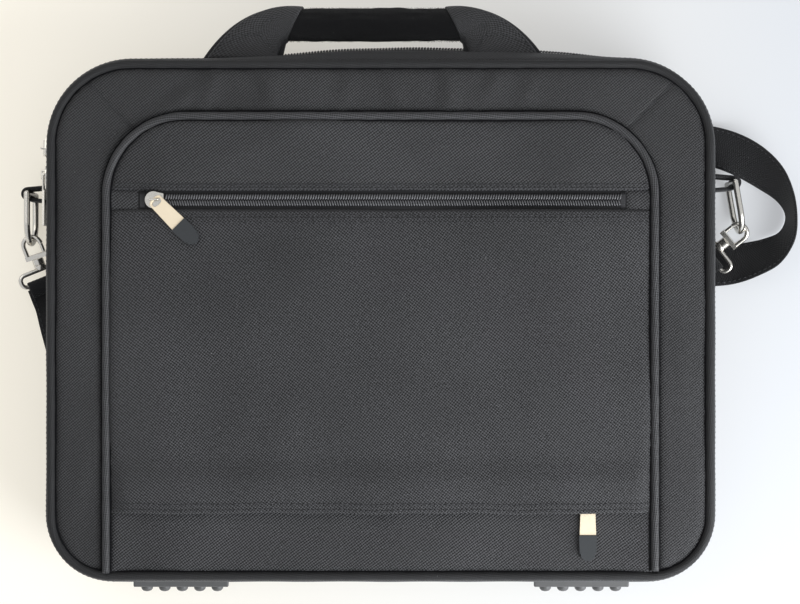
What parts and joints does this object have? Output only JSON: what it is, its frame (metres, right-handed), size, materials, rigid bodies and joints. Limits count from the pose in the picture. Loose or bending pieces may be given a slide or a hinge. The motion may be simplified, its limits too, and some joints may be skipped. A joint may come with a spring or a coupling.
{
  "type": "laptop briefcase",
  "caption": "Soft-sided zip-up laptop briefcase with a storm-flap front pocket, wrapped handle, ring hardware, feet and webbing shoulder strap.",
  "frame": {"origin": "centre of the back panel's flat middle, on the surface the case lies on", "axes": "+Z out of the front panel, +Y towards the handle, +X to the right of the front as seen from above"},
  "size_m": [0.4804, 0.3571, 0.0674],
  "materials": {
    "ballistic_nylon": "coarse matte weave",
    "frame_nylon": "fine matte weave",
    "piping_nylon": "covered piping",
    "webbing": "ribbed black webbing",
    "wrap_pile": "short black pile",
    "zip_tape": "woven tape",
    "zip_coil": "black coil",
    "lining": "tricot lining",
    "foam": "closed-cell foam",
    "board": "stiffening board",
    "rubber": "moulded rubber",
    "tip_rubber": "dark grey rubber",
    "black_plastic": "black acetal",
    "nickel": "warm satin nickel"
  },
  "bodies": {
    "case_back": {"back_panel": "ballistic_nylon", "back_foam": "foam", "back_board": "board", "back_lining": "lining", "back_piping": "piping_nylon", "back_gusset": "frame_nylon", "bottom_gusset": "frame_nylon", "back_zip_tape": "zip_tape", "back_zip_coil": "zip_coil", "laptop_divider": "lining", "divider_strap": "webbing", "feet": "rubber", "foot_rivets": "nickel", "left_ring_tab": "webbing", "right_ring_tab": "webbing", "back_handle_root": "webbing", "strap": "webbing", "strap_adjuster": "black_plastic"},
    "lid": {"front_piping": "piping_nylon", "front_gusset": "frame_nylon", "lid_bottom_gusset": "frame_nylon", "front_zip_tape": "zip_tape", "front_zip_coil": "zip_coil", "left_frame": "frame_nylon", "top_frame": "frame_nylon", "right_frame": "frame_nylon", "inner_piping": "piping_nylon", "upper_panel": "ballistic_nylon", "flap_panel": "ballistic_nylon", "lower_panel": "ballistic_nylon", "pocket_zip_tape": "zip_tape", "pocket_zip_coil": "zip_coil", "pocket_zip_stops": "zip_tape", "lower_zip_tape": "zip_tape", "lower_zip_coil": "zip_coil", "lid_board": "board", "lid_lining": "lining", "front_handle_root": "webbing"},
    "front_handle": {"front_handle": "webbing", "handle_core": "foam", "grip_wrap": "wrap_pile"},
    "back_handle": {"back_handle": "webbing"},
    "pocket_slider": {"pocket_slider": "nickel"},
    "pocket_pull": {"pocket_pull": "nickel", "pocket_pull_tip": "tip_rubber"},
    "lower_slider": {"lower_slider": "nickel"},
    "lower_pull": {"lower_pull": "nickel", "lower_pull_tip": "tip_rubber"},
    "upper_main_slider": {"upper_main_slider": "nickel"},
    "upper_main_pull": {"upper_main_pull": "nickel"},
    "lower_main_slider": {"lower_main_slider": "nickel"},
    "lower_main_pull": {"lower_main_pull": "nickel"},
    "left_ring": {"left_ring": "nickel"},
    "left_hook": {"left_hook": "nickel"},
    "left_gate": {"left_gate": "nickel"},
    "left_loop": {"left_loop": "nickel"},
    "right_ring": {"right_ring": "nickel"},
    "right_hook": {"right_hook": "nickel"},
    "right_gate": {"right_gate": "nickel"},
    "right_loop": {"right_loop": "nickel"}
  },
  "joints": [
    {"name": "lid_hinge", "type": "hinge", "parent": "case_back", "child": "lid", "pos_m": [0, -0.158, 0.03515], "axis": [1, 0, 0], "range_deg": [0, 110]},
    {"name": "front_handle_fold", "type": "hinge", "parent": "lid", "child": "front_handle", "pos_m": [-0.004, 0.15837, 0.05], "axis": [1, 0, 0], "range_deg": [0, 100]},
    {"name": "back_handle_fold", "type": "hinge", "parent": "case_back", "child": "back_handle", "pos_m": [-0.004, 0.15837, 0.0203], "axis": [1, 0, 0], "range_deg": [-65, 0]},
    {"name": "pocket_slider_run", "type": "slide", "parent": "lid", "child": "pocket_slider", "axis": [1, 0, 0], "range_m": [0, 0.265]},
    {"name": "pocket_pull_lift", "type": "hinge", "parent": "pocket_slider", "child": "pocket_pull", "pos_m": [-0.1335, 0.071, 0.0651], "axis": [-0.7071, -0.7071, 0], "range_deg": [0, 165]},
    {"name": "lower_slider_run", "type": "slide", "parent": "lid", "child": "lower_slider", "axis": [1, 0, 0], "range_m": [-0.27, 0]},
    {"name": "lower_pull_lift", "type": "hinge", "parent": "lower_slider", "child": "lower_pull", "pos_m": [0.1225, -0.1067, 0.0618], "axis": [-1, 0, 0], "range_deg": [0, 12]},
    {"name": "upper_main_slider_turn", "type": "hinge", "parent": "case_back", "child": "upper_main_slider", "pos_m": [-0.1475, 0.104, 0.03515], "axis": [0, 0, -1], "range_deg": [0, 90]},
    {"name": "upper_main_pull_lift", "type": "hinge", "parent": "upper_main_slider", "child": "upper_main_pull", "pos_m": [-0.2041, 0.104, 0.03515], "axis": [0, 1, 0], "range_deg": [0, 85]},
    {"name": "lower_main_slider_run", "type": "slide", "parent": "case_back", "child": "lower_main_slider", "axis": [0, 1, 0], "range_m": [-0.198, 0]},
    {"name": "lower_main_pull_lift", "type": "hinge", "parent": "lower_main_slider", "child": "lower_main_pull", "pos_m": [-0.2041, 0.088, 0.03515], "axis": [0, 0, -1], "range_deg": [0, 85]},
    {"name": "left_ring_swing", "type": "hinge", "parent": "case_back", "child": "left_ring", "pos_m": [-0.2165, 0.077, 0.0156], "axis": [0, 0, -1], "range_deg": [0, 10]},
    {"name": "left_hook_swing", "type": "hinge", "parent": "left_ring", "child": "left_hook", "pos_m": [-0.2165, 0.047, 0.0156], "axis": [0, 0, 1], "range_deg": [-3, 0]},
    {"name": "left_gate_push", "type": "hinge", "parent": "left_hook", "child": "left_gate", "pos_m": [-0.20965, 0.04338, 0.01401], "axis": [0.0852, -0.2621, 0.9613], "range_deg": [0, 28], "stiffness_Nm_per_rad": 0.02, "springref_deg": -8.59},
    {"name": "left_loop_swivel", "type": "hinge", "parent": "left_hook", "child": "left_loop", "pos_m": [-0.2165, 0.047, 0.0156], "axis": [0.297, -0.9142, -0.2756], "range_deg": [-4, 4]},
    {"name": "right_ring_swing", "type": "hinge", "parent": "case_back", "child": "right_ring", "pos_m": [0.2165, 0.084, 0.0156], "axis": [0, 0, 1], "range_deg": [-3, 1]},
    {"name": "right_hook_swing", "type": "hinge", "parent": "right_ring", "child": "right_hook", "pos_m": [0.22171, 0.05446, 0.0156], "axis": [0, 0, -1], "range_deg": [-3, 2]},
    {"name": "right_gate_push", "type": "hinge", "parent": "right_hook", "child": "right_gate", "pos_m": [0.21422, 0.05523, 0.01316], "axis": [0.3237, 0.2717, -0.9063], "range_deg": [0, 28], "stiffness_Nm_per_rad": 0.02, "springref_deg": -8.59},
    {"name": "right_loop_swivel", "type": "hinge", "parent": "right_hook", "child": "right_loop", "pos_m": [0.22171, 0.05446, 0.0156], "axis": [-0.6943, -0.5826, -0.4226], "range_deg": [-2, 3]}
  ]
}
